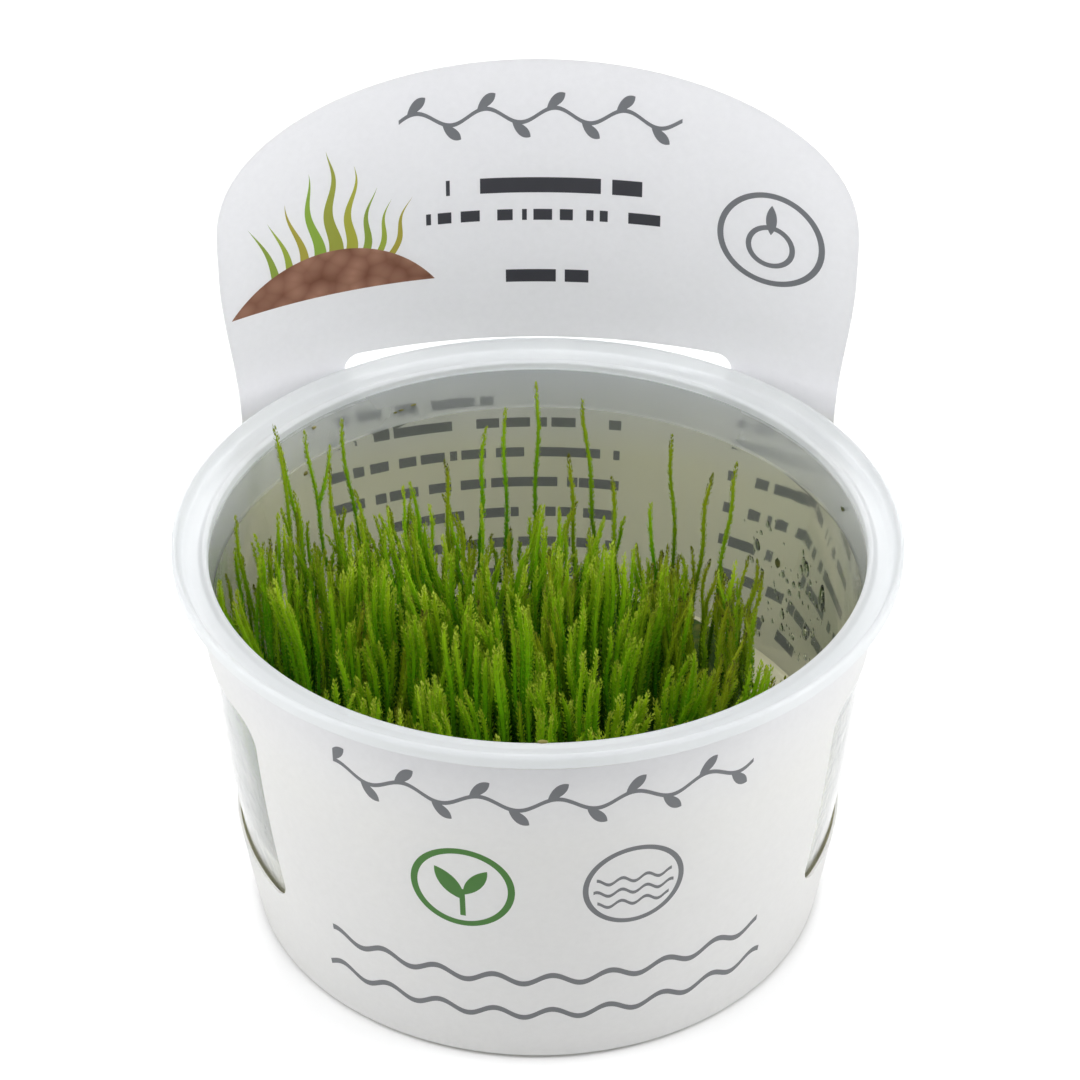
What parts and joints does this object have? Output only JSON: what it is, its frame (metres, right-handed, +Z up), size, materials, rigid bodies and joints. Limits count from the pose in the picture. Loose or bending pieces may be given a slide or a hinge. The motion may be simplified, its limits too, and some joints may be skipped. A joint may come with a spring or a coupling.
{
  "type": "java moss in an open cup",
  "caption": "Java moss growing upright on gel in an open round translucent cup, with a card sleeve whose tall arched back panel rises behind the rim.",
  "frame": {"origin": "centre of the cup's underside, on the plane that the cup stands on", "axes": "+Z up along the cup's axis; the front of the sleeve faces -Y and the tall back panel stands at +Y"},
  "size_m": [0.105, 0.105, 0.1124],
  "materials": {
    "cup_plastic": "translucent moulded polypropylene",
    "card": "white coated card with a faint sheen",
    "gel": "wet translucent agar gel",
    "deep_moss": "matted dark green moss",
    "moss": "finely leafy fresh green moss stems"
  },
  "bodies": {
    "root": {"cup": "cup_plastic", "gel": "gel", "moss_mat": "deep_moss", "moss_stem_01": "moss", "moss_stem_02": "moss", "moss_stem_03": "moss", "moss_stem_04": "moss", "moss_stem_05": "moss", "moss_stem_06": "moss", "moss_stem_07": "moss", "moss_stem_08": "moss", "moss_stem_09": "moss", "moss_stem_10": "moss", "moss_stem_11": "moss", "moss_stem_12": "moss", "moss_stem_13": "moss", "moss_stem_14": "moss", "moss_stem_15": "moss", "moss_stem_16": "moss", "moss_stem_17": "moss", "moss_stem_18": "moss", "moss_stem_19": "moss", "moss_stem_20": "moss", "moss_stem_21": "moss", "moss_stem_22": "moss", "moss_stem_23": "moss", "moss_stem_24": "moss", "moss_stem_25": "moss", "moss_stem_26": "moss", "moss_stem_27": "moss", "moss_stem_28": "moss", "moss_stem_29": "moss", "moss_stem_30": "moss", "moss_stem_31": "moss", "moss_stem_32": "moss", "moss_stem_33": "moss", "moss_stem_34": "moss", "moss_stem_35": "moss", "moss_stem_36": "moss", "moss_stem_37": "moss", "moss_stem_38": "moss", "moss_stem_39": "moss", "moss_stem_40": "moss", "moss_stem_41": "moss", "moss_stem_42": "moss", "moss_stem_43": "moss", "moss_stem_44": "moss", "moss_stem_45": "moss", "moss_stem_46": "moss", "moss_stem_47": "moss", "sleeve": "card"}
  },
  "joints": []
}
